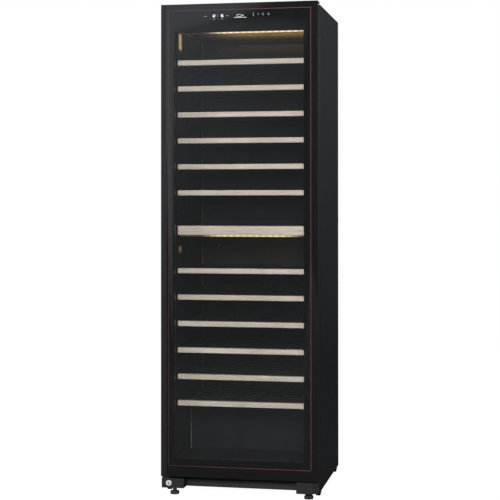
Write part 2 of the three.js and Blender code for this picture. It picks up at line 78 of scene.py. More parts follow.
class Shape:
    """Closed bodies gathered into one mesh."""

    def __init__(self):
        self.bm = bmesh.new()
        self.finish = 0  # material index of the faces made next

    def vert(self, p):
        return self.bm.verts.new((p[0] * MM, p[1] * MM + FACE_Y, p[2] * MM))

    def face(self, verts):
        made = self.bm.faces.new(verts)
        made.material_index = self.finish
        return made

    def loft(self, rings, loop=False):
        """Skin over rings of equally many points, capped at both ends unless it closes on itself."""
        rows = [[self.vert(p) for p in ring] for ring in rings]
        following = rows[1:] + rows[:1] if loop else rows[1:]
        for a, b in zip(rows, following):
            for i in range(len(a)):
                j = (i + 1) % len(a)
                self.face((a[i], a[j], b[j], b[i]))
        if not loop:
            self.face(rows[0][::-1])
            self.face(rows[-1])
        return self

    def box(self, x0, x1, d0, d1, z0, z1):
        return self.loft([[(x0, d0, z), (x1, d0, z), (x1, d1, z), (x0, d1, z)] for z in (z0, z1)])

    def bar(self, profile, axis, a, b, chamfer=0.0):
        """A profile run from a to b along an axis: (d, z) along x, (x, z) along d, (x, d) along z."""
        place = {
            "x": lambda u, v, w: (w, u, v),
            "d": lambda u, v, w: (u, w, v),
            "z": lambda u, v, w: (u, v, w),
        }[axis]
        cu = (min(p[0] for p in profile) + max(p[0] for p in profile)) / 2
        cv = (min(p[1] for p in profile) + max(p[1] for p in profile)) / 2
        ends = [(a, 0.0), (b, 0.0)]
        if chamfer:
            ends = [(a, chamfer), (a + chamfer, 0.0), (b - chamfer, 0.0), (b, chamfer)]
        rings = []
        for w, inset in ends:
            ring = []
            for u, v in profile:
                su = u - math.copysign(min(inset, abs(u - cu)), u - cu)
                sv = v - math.copysign(min(inset, abs(v - cv)), v - cv)
                ring.append(place(su, sv, w))
            rings.append(ring)
        return self.loft(rings)

    def turn(self, profile, centre, axis="z", sides=48, loop=False):
        """A (radius, height) profile turned about an axis; loop closes the profile itself."""

        def at(r, h, angle):
            u, v = r * math.cos(angle), r * math.sin(angle)
            x, d, z = {"z": (u, v, h), "d": (u, h, v), "x": (h, u, v)}[axis]
            return (centre[0] + x, centre[1] + d, centre[2] + z)

        angles = [2 * math.pi * i / sides for i in range(sides)]
        if loop:
            return self.loft([[at(r, h, a) for r, h in profile] for a in angles], loop=True)
        return self.loft([[at(r, h, a) for a in angles] for r, h in profile])

    def tube(self, path, radius, sides=12):
        """A round tube along points."""
        points = [Vector(p) for p in path]
        rings, up = [], None
        for before, p, after in zip(points[:1] + points, points, points[1:] + points[-1:]):
            ahead = (after - before).normalized()
            if up is None:
                up = ahead.orthogonal().normalized()
            up = (up - ahead * up.dot(ahead)).normalized()
            across = ahead.cross(up)
            rings.append([
                tuple(p + up * radius * math.cos(t) + across * radius * math.sin(t))
                for t in (2 * math.pi * k / sides for k in range(sides))
            ])
        return self.loft(rings)

    def stroke(self, points, width, d0, d1, loop=False):
        """A flat line in the x-z plane, from depth d0 to d1."""
        count = len(points)
        rings = []
        for i, (x, z) in enumerate(points):
            ax, az = points[i - 1] if (i or loop) else points[i]
            bx, bz = points[(i + 1) % count] if (i < count - 1 or loop) else points[i]
            length = math.hypot(bx - ax, bz - az)
            nx, nz = -(bz - az) / length * width / 2, (bx - ax) / length * width / 2
            near, far = (x + nx, z + nz), (x - nx, z - nz)
            rings.append([(near[0], d0, near[1]), (near[0], d1, near[1]),
                          (far[0], d1, far[1]), (far[0], d0, far[1])])
        return self.loft(rings, loop=loop)

    def between(self, outer, inner, profile):
        """A mitred ring between two upright rectangles, each (x0, x1, z0, z1).

        The profile lists (which, inset, d): "o" is measured inwards from outer, "i" outwards from inner.
        """
        rings = []
        for i, j in ((0, 0), (1, 0), (1, 1), (0, 1)):
            ring = []
            for which, inset, d in profile:
                rect, way = (outer, 1) if which == "o" else (inner, -1)
                x = rect[i] + way * inset * (1 - 2 * i)
                z = rect[2 + j] + way * inset * (1 - 2 * j)
                ring.append((x, d, z))
            rings.append(ring)
        return self.loft(rings, loop=True)

    def lattice(self, xs, zs, d0, d1, is_open):
        """A flat sheet on a grid, with some cells left open."""
        grid = {}

        def corner(i, j, k):
            if (i, j, k) not in grid:
                grid[i, j, k] = self.vert((xs[i], (d0, d1)[k], zs[j]))
            return grid[i, j, k]

        columns, rows = len(xs) - 1, len(zs) - 1
        solid = {
            (i, j) for i in range(columns) for j in range(rows)
            if not is_open((xs[i] + xs[i + 1]) / 2, (zs[j] + zs[j + 1]) / 2)
        }
        for i, j in solid:
            for k in (0, 1):
                around = ((i, j), (i + 1, j), (i + 1, j + 1), (i, j + 1))
                self.face([corner(*at, k) for at in around])
            edges = (
                ((i - 1, j), (i, j), (i, j + 1)),
                ((i + 1, j), (i + 1, j), (i + 1, j + 1)),
                ((i, j - 1), (i, j), (i + 1, j)),
                ((i, j + 1), (i, j + 1), (i + 1, j + 1)),
            )
            for neighbour, a, b in edges:
                if neighbour not in solid:
                    self.face([corner(*a, 0), corner(*b, 0), corner(*b, 1), corner(*a, 1)])
        return self

    def screw(self, x, d, z, toward=-1, radius=4.0, height=1.2, head=0, shade_finish=1):
        """A pan head on a face across the depth axis, with a solid dark cross on it in place of its slot:
        painted shade.
        """
        self.finish = head
        h = toward * height
        self.turn([(radius, 0), (radius, h * 0.35), (radius * 0.82, h * 0.8), (radius * 0.45, h * 0.96)],
                  (x, d, z), "d", 20)
        # the cross is painted shade: dark bodies standing on the head where the slot would be hollow
        self.finish = shade_finish
        for wide, tall in ((radius * 0.55, radius * 0.13), (radius * 0.13, radius * 0.55)):
            top = sorted((d + h * 0.5, d + h))
            self.box(x - wide, x + wide, top[0], top[1], z - tall, z + tall)
        self.finish = head

    def screws(self, xs, d, zs, *how):
        for z in zs:
            for x in xs:
                self.screw(x, d, z, *how)

    def make(self, name, materials, body, slot, replaced=()):
        """Turns the gathered bodies into one named piece that rides on a body."""
        bmesh.ops.recalc_face_normals(self.bm, faces=self.bm.faces)
        mesh = bpy.data.meshes.new(name)
        self.bm.to_mesh(mesh)
        self.bm.free()
        for material in materials:
            mesh.materials.append(material)
        for polygon in mesh.polygons:
            polygon.use_smooth = True
        mesh.set_sharp_from_angle(angle=math.radians(SHARP_FROM))
        piece = bpy.data.objects.new(name, mesh)
        scene.collection.objects.link(piece)
        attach(piece, body)
        if replaced:
            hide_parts(*replaced)


def dress(nodes, material, round_by=0.0, segments=2):
    """Gives carried-over CAD nodes their finish, and softens their edges by round_by."""
    for name in nodes:
        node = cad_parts[name]
        node.data.materials.clear()
        node.data.materials.append(material)
        if not round_by:
            continue
        weld = node.modifiers.new("weld", "WELD")
        weld.merge_threshold = 0.005 * MM
        flat = node.modifiers.new("flats", "DECIMATE")
        flat.decimate_type = "DISSOLVE"
        flat.angle_limit = math.radians(1)
        edge = node.modifiers.new("rounded_edges", "BEVEL")
        edge.width = round_by * MM
        edge.segments = segments
        edge.limit_method = "ANGLE"
        edge.angle_limit = math.radians(40)
        edge.harden_normals = True


def arc(cx, cz, radius, start, end, count):
    """Points from start to end, in degrees, on a circle in the x-z plane."""
    angles = (math.radians(start + (end - start) * i / count) for i in range(count + 1))
    return [(cx + radius * math.cos(a), cz + radius * math.sin(a)) for a in angles]


# ---- materials


class Nodes:
    """Adds shader nodes to a tree."""

    def __init__(self, owner):
        owner.use_nodes = True
        self.tree = owner.node_tree

    def plug(self, socket, value):
        if isinstance(value, bpy.types.NodeSocket):
            self.tree.links.new(value, socket)
        else:
            socket.default_value = value

    def node(self, kind, out=0, inputs=None, **settings):
        made = self.tree.nodes.new("ShaderNode" + kind)
        for key, value in settings.items():
            setattr(made, key, value)
        for key, value in (inputs or {}).items():
            self.plug(made.inputs[key], value)
        return made.outputs[out]

    def span(self, value, low, high, to_low=0.0, to_high=1.0, smooth=False):
        return self.node("MapRange", inputs={
            "Value": value, "From Min": low, "From Max": high, "To Min": to_low, "To Max": to_high},
            interpolation_type="SMOOTHSTEP" if smooth else "LINEAR")

    def math(self, operation, a, b=0.0, c=0.0):
        return self.node("Math", inputs={0: a, 1: b, 2: c}, operation=operation)


class Finish(Nodes):
    """A Principled material fed by patterns in the piece's own coordinates, in metres."""

    def __init__(self, name, **sockets):
        self.material = bpy.data.materials.new(name)
        super().__init__(self.material)
        self.shader = self.tree.nodes["Principled BSDF"]
        self.place = self.node("TexCoord", "Object")
        self.set(**sockets)

    def scaled(self, x, y, z):
        return self.node("Mapping", inputs={"Vector": self.place, "Scale": (x, y, z)})

    def noise(self, scale, detail=3.0, rough=0.55, where=None, swirl=0.0):
        return self.node("TexNoise", inputs={
            "Vector": where or self.place, "Scale": scale, "Detail": detail, "Roughness": rough,
            "Distortion": swirl})

    def cells(self, scale, out="Distance"):
        return self.node("TexVoronoi", out, {"Vector": self.place, "Scale": scale})

    def ramp(self, value, *stops):
        made = self.tree.nodes.new("ShaderNodeValToRGB")
        while len(made.color_ramp.elements) < len(stops):
            made.color_ramp.elements.new(0.5)
        for element, (position, colour) in zip(made.color_ramp.elements, stops):
            element.position = position
            element.color = (*colour, 1.0)
        self.plug(made.inputs[0], value)
        return made.outputs[0]

    def mix(self, share, a, b):
        made = self.tree.nodes.new("ShaderNodeMix")
        made.data_type = "RGBA"
        for key, value in ((0, share), (6, a), (7, b)):
            self.plug(made.inputs[key], (*value, 1.0) if isinstance(value, tuple) else value)
        return made.outputs[2]

    def relief(self, *layers):
        """Bump layers, each (height, depth in metres), one over the other."""
        normal = None
        for height, depth in layers:
            inputs = {"Height": height, "Distance": depth, "Strength": 1.0}
            if normal is not None:
                inputs["Normal"] = normal
            normal = self.node("Bump", inputs=inputs)
        self.plug(self.shader.inputs["Normal"], normal)

    def set(self, **sockets):
        for key, value in sockets.items():
            self.plug(self.shader.inputs[key.replace("_", " ")], value)


def shade(colour, factor):
    return tuple(min(c * factor, 1.0) for c in colour)


def painted(name, colour, roughness=0.42, peel=0.00003, specular=0.5):
    """Powder-coated sheet: orange peel, slow drift of tone, faint handling marks."""
    f = Finish(name, Specular_IOR_Level=specular)
    drift = f.noise(2.4, 4)
    marks = f.noise(34, 5, 0.62)
    tone = f.ramp(drift, (0.3, shade(colour, 0.8)), (0.7, shade(colour, 1.22)))
    f.set(Base_Color=f.mix(f.span(marks, 0.55, 0.85, 0.0, 0.15), tone, shade(colour, 1.5)))
    f.set(Roughness=f.span(marks, 0.3, 0.75, roughness - 0.02, roughness + 0.05))
    f.relief((f.noise(700, 2), peel))
    return f.material


def moulded(name, colour, roughness=0.55, grain=1500, depth=0.00003, specular=0.5):
    """Injection-moulded plastic with a fine eroded grain."""
    f = Finish(name, Specular_IOR_Level=specular)
    drift = f.noise(5, 4)
    grains = f.cells(grain)
    f.set(Base_Color=f.ramp(drift, (0.25, shade(colour, 0.82)), (0.75, shade(colour, 1.2))))
    f.set(Roughness=f.span(f.noise(60, 4), 0.3, 0.7, roughness - 0.07, roughness + 0.07))
    f.relief((grains, depth), (f.noise(260, 2), depth))
    return f.material


def brushed(name, colour, roughness=0.3, along=(1, 1, 1), metallic=1.0):
    """Metal with fine drawn lines; along holds the low scale on the axis of the lines."""
    f = Finish(name, Metallic=metallic)
    lines = f.noise(1, 3, 0.6, f.scaled(*along))
    cloud = f.noise(16, 4)
    f.set(Base_Color=f.ramp(lines, (0.2, shade(colour, 0.72)), (0.8, shade(colour, 1.18))))
    spread = f.span(lines, 0.2, 0.8, roughness - 0.08, roughness + 0.1)
    f.set(Roughness=f.math("ADD", spread, f.span(cloud, 0.3, 0.7, -0.03, 0.05)))
    f.relief((lines, 0.00002))
    return f.material


def galvanised(name):
    """Zinc-coated sheet with its spangle."""
    f = Finish(name, Metallic=0.9)
    spangle = f.cells(95, "Color")
    grey = f.node("SeparateColor", 0, {"Color": spangle})
    f.set(Base_Color=f.ramp(grey, (0.0, (0.33, 0.34, 0.36)), (1.0, (0.56, 0.57, 0.58))))
    f.set(Roughness=f.span(grey, 0, 1, 0.34, 0.56))
    f.relief((f.noise(300, 2), 0.00002))
    return f.material


def foamed(name):
    """Rigid insulation: pale, with open cells; its tone drifts and is darker where the relief is low,
    painted shade in the cavities.
    """
    f = Finish(name)
    cells = f.cells(900)
    relief_and_shade = f.noise(14, 5, 0.6)
    # the same noise raises the relief and lightens the colour, so the low cavities are darker: painted
    # shade
    f.set(Base_Color=f.ramp(relief_and_shade, (0.25, (0.66, 0.57, 0.36)), (0.75, (0.84, 0.78, 0.6))))
    f.set(Roughness=f.span(cells, 0, 0.6, 0.98, 0.8))
    f.relief((cells, 0.0004), (relief_and_shade, 0.002))
    return f.material


def rubber(name, colour, roughness):
    """Matt rubber with a pale bloom."""
    f = Finish(name)
    bloom = f.noise(45, 5, 0.65)
    f.set(Base_Color=f.ramp(bloom, (0.35, shade(colour, 0.75)), (0.75, shade(colour, 1.9))))
    f.set(Roughness=f.span(bloom, 0.3, 0.7, roughness - 0.08, roughness + 0.12))
    f.relief((f.noise(1100, 2), 0.00005), (f.noise(130, 3), 0.00008))
    return f.material


def timber(name):
    """Pale close-grained hardwood under matt lacquer, with its grain along x."""
    f = Finish(name, Specular_IOR_Level=0.35)
    board = f.noise(1.0, 2, 0.5, f.scaled(2.1, 46.0, 46.0), 0.3)
    rings = f.math("PINGPONG", f.math("MULTIPLY", board, 9.0), 1.0)
    fibre = f.noise(1.0, 3, 0.6, f.scaled(15.0, 760.0, 760.0))
    rays = f.span(f.noise(1.0, 2, 0.5, f.scaled(70.0, 520.0, 520.0)), 0.62, 0.72)
    plank = f.noise(7.5, 1)
    base = f.ramp(rings, (0.0, (0.64, 0.546, 0.47)), (0.55, (0.74, 0.65, 0.578)),
                  (1.0, (0.79, 0.715, 0.65)))
    toned = f.mix(f.span(plank, 0.35, 0.65, 0.0, 0.5), base, (0.64, 0.545, 0.475))
    lined = f.mix(f.span(fibre, 0.42, 0.7, 0.0, 0.3), toned, (0.44, 0.33, 0.25))
    f.set(Base_Color=f.mix(f.math("MULTIPLY", rays, 0.3), lined, (0.36, 0.25, 0.18)))
    f.set(Roughness=f.span(fibre, 0.3, 0.7, 0.44, 0.62))
    f.relief((fibre, 0.00006), (rings, 0.00004))
    return f.material


def printed_glass(name):
    """Black print seen through polished glass, with faint wiping marks."""
    f = Finish(name, IOR=1.5, Coat_Weight=0.0)
    wipe = f.noise(6, 6, 0.6, f.scaled(1, 1, 0.35), 1.2)
    f.set(Base_Color=f.ramp(wipe, (0.3, (0.0066, 0.0065, 0.0066)), (0.75, (0.0088, 0.0088, 0.0090))))
    f.set(Roughness=f.span(wipe, 0.35, 0.75, 0.035, 0.09))
    f.relief((f.noise(3.2, 1), 0.00002))
    return f.material


def pane(name, tint, shine, smear=0.03, haze=0.0):
    """Clear glass: what is behind it shows through a light tint, and its faces mirror by angle."""
    f = Finish(name)
    wipe = f.noise(5, 5, 0.6, f.scaled(1, 1, 0.4), 1.0)
    facing = f.node("LayerWeight", "Facing", {"Blend": 0.5})
    mirror = f.math("MULTIPLY_ADD", f.math("POWER", facing, 5.0), 0.6, shine)
    clear = f.node("BsdfTransparent", inputs={
        "Color": f.ramp(wipe, (0.3, tint), (0.8, shade(tint, 0.96)))})
    gloss = f.node("BsdfGlossy", inputs={
        "Color": (0.95, 0.97, 1.0, 1.0), "Roughness": f.span(wipe, 0.3, 0.8, 0.015, smear)})
    veil = f.node("BsdfDiffuse", inputs={"Color": (0.94, 0.97, 1.0, 1.0)})
    hazy = f.node("MixShader", inputs={0: haze, 1: clear, 2: veil})
    both = f.node("MixShader", inputs={0: mirror, 1: hazy, 2: gloss})
    f.tree.nodes.remove(f.shader)
    output = next(n for n in f.tree.nodes if n.type == "OUTPUT_MATERIAL")
    f.tree.links.new(both, output.inputs["Surface"])
    return f.material


def glowing(name, colour, light, strength):
    """A lit mark behind the glass: slightly uneven over its area."""
    f = Finish(name, Base_Color=(*colour, 1.0), Emission_Color=(*light, 1.0), Coat_Weight=0.3)
    uneven = f.noise(420, 2)
    f.set(Emission_Strength=f.span(uneven, 0.3, 0.7, strength * 0.82, strength * 1.15))
    f.set(Roughness=f.span(uneven, 0.3, 0.7, 0.18, 0.3))
    return f.material


def frosted_light(name, light, strength, middle, reach):
    """Diffuser over a row of warm diodes: a bright spot every 25 mm, dimmer towards the ends."""
    f = Finish(name, Emission_Color=(*light, 1.0))
    x = f.node("SeparateXYZ", 0, {0: f.place})
    wave = f.math("COSINE", f.math("MULTIPLY", x, 2 * math.pi / 0.025))
    spots = f.span(wave, -1, 1, 0.7, 1.15)
    fade = f.span(f.math("ABSOLUTE", f.math("SUBTRACT", x, middle)), reach * 0.55, reach, 1.0, 0.03, True)
    f.set(Emission_Strength=f.math("MULTIPLY", f.math("MULTIPLY", spots, fade), strength))
    f.set(Base_Color=f.ramp(f.noise(150, 3), (0.3, (0.10, 0.088, 0.066)), (0.7, (0.14, 0.124, 0.096))))
    f.set(Roughness=f.span(f.noise(900, 2), 0.3, 0.7, 0.35, 0.55))
    f.relief((f.noise(1400, 1), 0.00003))
    return f.material


def stripe_foil(name):
    """Red metallic line under the glass, darker towards the left side of the door: painted shade."""
    f = Finish(name, Metallic=0.35, Coat_Weight=1.0, Coat_Roughness=0.04)
    flakes = f.cells(2600)
    side = f.node("SeparateXYZ", 0, {0: f.place})
    bright = f.ramp(flakes, (0.0, (0.205, 0.072, 0.076)), (0.8, (0.146, 0.052, 0.054)))
    # mixed towards dark red over the left of the door: painted shade
    f.set(Base_Color=f.mix(f.span(side, -0.27, 0.27, 0.65, 0.0), bright, (0.03, 0.012, 0.012)))
    f.set(Roughness=f.span(f.noise(90, 3), 0.3, 0.7, 0.3, 0.45))
    return f.material


def circuit(name):
    """Solder-masked board with copper tracks showing through."""
    f = Finish(name)
    tracks = f.node("TexBrick", 1, {"Vector": f.place, "Scale": 240.0, "Mortar Size": 0.06})
    f.set(Base_Color=f.ramp(tracks, (0.0, (0.008, 0.03, 0.018)), (1.0, (0.03, 0.075, 0.04))))
    f.set(Roughness=f.span(f.noise(200, 3), 0.3, 0.7, 0.3, 0.5))
    f.relief((tracks, 0.00003))
    return f.material


def polished(name, colour, roughness, metallic):
    """Plated metal with hairline scratches."""
    f = Finish(name, Metallic=metallic)
    hair = f.noise(1, 4, 0.7, f.scaled(260, 260, 1900))
    f.set(Base_Color=f.ramp(hair, (0.3, shade(colour, 0.9)), (0.7, shade(colour, 1.06))))
    f.set(Roughness=f.span(hair, 0.4, 0.8, roughness, roughness + 0.16))
    f.relief((hair, 0.000008))
    return f.material


UPPER_LIT_X, LOWER_LIT_X = 0.06, 0.03  # where each light bar is brightest

black_steel = painted("black_steel", (0.0115, 0.0115, 0.0135), 0.42, specular=0.3)
rear_steel = painted("rear_steel", (0.016, 0.016, 0.018), 0.5)
bracket_paint = painted("bracket_paint", (0.017, 0.017, 0.0165), 0.5, 0.00012)
zinc = galvanised("zinc_steel")
insulation = foamed("insulation")
liner_plastic = moulded("liner_plastic", (0.0145, 0.0145, 0.0155), 0.58)
divider_plastic = moulded("divider_plastic", (0.024, 0.0235, 0.022), 0.6)
duct_plastic = moulded("duct_plastic", (0.017, 0.0175, 0.019), 0.56)
frame_plastic = moulded("frame_plastic", (0.013, 0.0135, 0.0145), 0.45, specular=0.42)
fan_plastic = moulded("fan_plastic", (0.035, 0.037, 0.042), 0.4, 900)
inlet_plastic = moulded("inlet_plastic", (0.012, 0.012, 0.013), 0.5)
hub_nylon = moulded("hub_nylon", (0.09, 0.09, 0.092), 0.45)
wood_across = timber("wood_across")
rack_black = painted("rack_black", (0.012, 0.0118, 0.0115), 0.5, 0.00006)
grip_alu = brushed("grip_anodised", (0.06, 0.06, 0.058), 0.36, (900, 900, 6), 0.85)
# the same black paint made over twice as light: painted light on the kick plate, which sits in the door's
# shade
kick_painted_light = painted("kick_painted_light", (0.025, 0.025, 0.0245), 0.5, 0.00005, 0.4)
hinge_paint = painted("hinge_paint", (0.010, 0.010, 0.0105), 0.45, 0.00005, 0.4)
bare_steel = brushed("bare_steel", (0.56, 0.57, 0.58), 0.28, (30, 900, 900))
screw_steel = brushed("screw_steel", (0.42, 0.42, 0.43), 0.32, (700, 700, 700))
evaporator_alu = brushed("evaporator_alu", (0.62, 0.64, 0.65), 0.36, (6, 500, 500))
copper = brushed("copper_tube", (0.72, 0.36, 0.22), 0.26, (120, 120, 120))
fin_alu = brushed("fin_alu", (0.30, 0.31, 0.32), 0.4, (400, 400, 30), 0.8)
chrome = polished("lock_chrome", (0.85, 0.855, 0.86), 0.26, 0.52)
# near-black finish of solid marks that stand in for holes, slots and sockets: painted shade
painted_shade = moulded("painted_shade_hollow", (0.004, 0.004, 0.004), 0.7)
tyre_rubber = rubber("tyre_rubber", (0.02, 0.02, 0.021), 0.68)
foot_rubber = rubber("foot_rubber", (0.018, 0.018, 0.018), 0.62)
gasket_rubber = rubber("gasket_rubber", (0.014, 0.014, 0.015), 0.66)
enamel = painted("compressor_enamel", (0.012, 0.012, 0.013), 0.22, 0.00008)
tube_paint = painted("condenser_paint", (0.03, 0.031, 0.033), 0.4)
border_print = printed_glass("printed_glass")
window_glass = pane("window_glass", (0.915, 0.915, 0.91), 0.014, haze=0.0045)
inner_glass = pane("inner_glass", (0.975, 0.98, 0.975), 0.008, 0.025)
stripe = stripe_foil("red_stripe")
lit_white = glowing("lit_marks", (0.4, 0.43, 0.46), (0.86, 0.94, 1.0), 2.6)
lit_badge = glowing("lit_badge", (0.3, 0.31, 0.32), (0.95, 0.97, 1.0), 0.9)
lit_dim = glowing("dim_marks", (0.1, 0.11, 0.12), (0.80, 0.9, 1.0), 0.42)
light_cover_upper = frosted_light("light_cover_upper", (1.0, 0.86, 0.66), 1.4, UPPER_LIT_X, 0.22)
light_cover_lower = frosted_light("light_cover_lower", (1.0, 0.72, 0.36), 1.25, LOWER_LIT_X, 0.2)
board_green = circuit("control_board")

# ---- carried-over CAD nodes

dress(["left_side_panel", "right_side_panel", "top_panel"], black_steel, 0.5)
# lighter black on the kick plate: painted light
dress(["front_crossmember"], kick_painted_light, 0.5)
dress(["base_pan"], zinc, 0.4)
dress(["foam_left", "foam_right", "foam_top", "foam_rear", "foam_floor"], insulation)
dress(["liner_left", "liner_right", "liner_ceiling", "liner_rear", "liner_floor"], liner_plastic, 0.6)
dress(["zone_divider"], divider_plastic, 1.0)
dress(["duct_cover_upper", "duct_cover_lower"], duct_plastic, 0.8)
dress(["evaporator_upper", "evaporator_lower"], evaporator_alu, 0.5)
dress(["light_bar_upper"], light_cover_upper, 0.8)
dress(["light_bar_lower"], light_cover_lower, 0.8)
dress(["door_grip_profile"], grip_alu, 0.7, 3)
dress(["door_frame"], frame_plastic, 0.6)
dress(["door_inner_pane"], inner_glass)
dress(["control_module"], board_green)
dress(["door_striker", "lock_cam", "upper_hinge_bracket"], hinge_paint, 0.3)
dress(["lower_hinge_bracket", "lock_housing"], bracket_paint, 0.8, 3)
dress(["condenser"], tube_paint, 0.3)
dress(["power_inlet"], inlet_plastic, 0.5)

# ---- door


def shrink(rectangle, by):
    x0, x1, z0, z1 = rectangle
    return (x0 + by, x1 - by, z0 + by, z1 - by)


gx0, gx1, _, gd1, gz0, gz1 = span("door_outer_glass")
GLASS = (gx0, gx1, gz0, gz1)
WINDOW = (-245.5, 245.5, 137.0, 1730.0)
PRINT_FACE = 0.2  # the border's face, just behind the marks

border = Shape()
border.between(GLASS, WINDOW, [
    ("o", 0.0, 1.1), ("o", 0.25, 0.5), ("o", 0.9, PRINT_FACE), ("i", 0.0, PRINT_FACE),
    ("i", 0.0, gd1), ("o", 0.6, gd1), ("o", 0.0, gd1 - 0.6)])
border.make("door_glass_border", [border_print], "door", "outer_glass", ["door_outer_glass"])

x0, x1, z0, z1 = shrink(WINDOW, 0.05)
window = Shape()
window.box(x0, x1, PRINT_FACE, gd1, z0, z1)
window.make("door_window", [window_glass], "door", "outer_glass", ["door_outer_glass"])

STRIPE = (-268.2, 272.6, 107.4, 1811.8)  # outer edge of the red line
STRIPE_WIDTH = 2.0
line = Shape()
line.between(STRIPE, shrink(STRIPE, STRIPE_WIDTH),
             [("o", 0, 0.08), ("i", 0, 0.08), ("i", 0, 0.6), ("o", 0, 0.6)])
line.make("door_red_stripe", [stripe], "door", "outer_glass")

# dark warm-edge spacer that lines the glazing cavity
spacer = Shape()
spacer.between(WINDOW, shrink(WINDOW, 0.5),
               [("o", 0.05, 6.0), ("i", 0, 6.3), ("i", 0, 21.6), ("o", 0.05, 21.9)])
spacer.make("glazing_spacer", [frame_plastic], "door", "door_frame")

MARK = (0.06, 0.5)  # depths of the front and the back of a mark
SEGMENTS = {
    "a": ((0, 1), (1, 1)), "b": ((1, 1), (1, 0.5)), "c": ((1, 0.5), (1, 0)), "d": ((0, 0), (1, 0)),
    "e": ((0, 0.5), (0, 0)), "f": ((0, 1), (0, 0.5)), "g": ((0, 0.5), (1, 0.5)),
}
DIGITS = {"1": "bc", "2": "abged", "6": "afgedc"}
SEGMENT_GAP = 0.85  # left free at each end of a segment
DIGIT_STEP = 7.0


def digit(figure, x, z, wide=4.4, tall=9.0):
    """The lines of a seven-segment figure."""
    for key in DIGITS[figure]:
        (ax, az), (bx, bz) = ((x + u * wide, z + v * tall) for u, v in SEGMENTS[key])
        trim = SEGMENT_GAP / math.hypot(bx - ax, bz - az)
        dx, dz = (bx - ax) * trim, (bz - az) * trim
        yield [(ax + dx, az + dz), (bx - dx, bz - dz)], 1.2


def display(name, material, lines):
    """Marks of the touch panel: (points, width) for an open line, with True added for a closed one."""
    shape = Shape()
    for points, width, *loop in lines:
        shape.stroke(points, width, *MARK, *loop)
    shape.make(name, [material], "door", "electronics")


display("display_digits", lit_white, [
    line for text, x in (("12", -100.5), ("16", -69.5)) for i, figure in enumerate(text)
    for line in digit(figure, x + i * DIGIT_STEP, 1784.0)])
display("display_touch_marks", lit_dim, [
    ([(-131, 1787.5), (-120, 1787.5)], 1.2),  # minus
    ([(-47, 1787.5), (-37, 1787.5)], 1.0), ([(-42, 1785.5), (-42, 1789.5)], 1.0),  # plus
    ([(-79.5, 1784), (-79.5, 1793)], 0.7),  # rule between the two temperatures
    ([(-98, 1776.5), (-88, 1776.5)], 1.1), ([(-67, 1776.5), (-57, 1776.5)], 1.1)])  # under each of them
BOTTLE = [(-5, 1783.8), (9, 1783.8), (12.5, 1786), (20, 1786), (20, 1789), (12.5, 1789), (9, 1791.4),
          (-5, 1791.4), (-6.5, 1789.6), (-6.5, 1785.6)]
display("display_bottle_symbol", lit_badge, [([(-17, 1780.2), (31, 1780.2)], 1.1), (BOTTLE, 1.0, True)])
display("display_icons", lit_dim, [
    ([(57, 1787.5), (57, 1797)], 1.3), (arc(57, 1785.6, 1.8, 0, 360, 14)[:-1], 1.0, True),  # thermometer
    ([(72, 1793.5), (75, 1787.5), (78, 1793.5)], 1.2),  # cooling level
    (arc(93, 1791.6, 2.8, 0, 360, 16)[:-1], 1.1, True), ([(91.4, 1786.6), (94.6, 1786.6)], 1.0),  # lamp
    (arc(114, 1790.2, 3.2, 120, 420, 16), 1.1), ([(114, 1790.8), (114, 1795.2)], 1.1)])  # power

# magnetic gasket: bellows towards the door, magnet pocket towards the cabinet
mx0, mx1, md0, md1, mz0, mz1 = span("door_gasket")
GASKET_HALF = 9.5
centre_line = shrink((mx0, mx1, mz0, mz1), GASKET_HALF)
outside = [(GASKET_HALF, md1), (GASKET_HALF, md1 - 2.7), (7.2, md1 - 3.7), (8.9, md1 - 5.0),
           (6.6, md1 - 6.1), (8.0, md1 - 7.4), (8.0, md0)]
gasket = Shape()
fold = [("o", w, d) for w, d in outside] + [("o", -w, d) for w, d in reversed(outside)]
gasket.between(centre_line, centre_line, fold)
gasket.make("door_gasket_bellows", [gasket_rubber], "door", "gasket", ["door_gasket"])

frame_screws = Shape()
_, _, _, frame_rear, fz0, fz1 = span("door_frame")
heights = (fz0 + 60, fz0 + 460, fz0 + 860, fz0 + 1260, fz1 - 90)
frame_screws.screws((-268, 287), frame_rear, heights, 1, 3.4, 1.2)
frame_screws.make("door_frame_screws", [screw_steel, painted_shade], "door", "bright_steel")

# ---- lock

x0, x1, _, _, z0, z1 = span("lock_cylinder")
cx, cz = (x0 + x1) / 2, (z0 + z1) / 2
barrel = Shape()
for profile, sides in (
        ([(7.3, 1.1), (7.9, 1.05), (8.4, 0.5), (9.4, 0.33), (10.5, 0.4), (11.0, 0.95), (11.0, 1.7),
          (9.0, 1.75), (9.0, 31.9)], 64),  # rim and body
        ([(6.6, 0.62), (7.1, 0.85), (7.1, 1.4)], 48),  # plug
        ([(4.0, 31.7), (4.0, 37.4)], 6), ([(2.6, 37.3), (2.6, 38.2), (1.6, 38.9)], 16)):  # nut and stud
    barrel.turn(profile, (cx, 0, cz), "d", sides)
barrel.finish = 1  # keyway: a dark disc and slot standing on the plug face, painted shade of the key slot
barrel.turn([(2.1, 0.55), (2.1, 0.9)], (cx, 0, cz), "d", 24)
barrel.box(cx - 0.9, cx + 0.9, 0.56, 0.9, cz - 4.6, cz + 3.4)
barrel.make("lock_barrel", [chrome, painted_shade], "lock", "lock_chrome", ["lock_cylinder"])

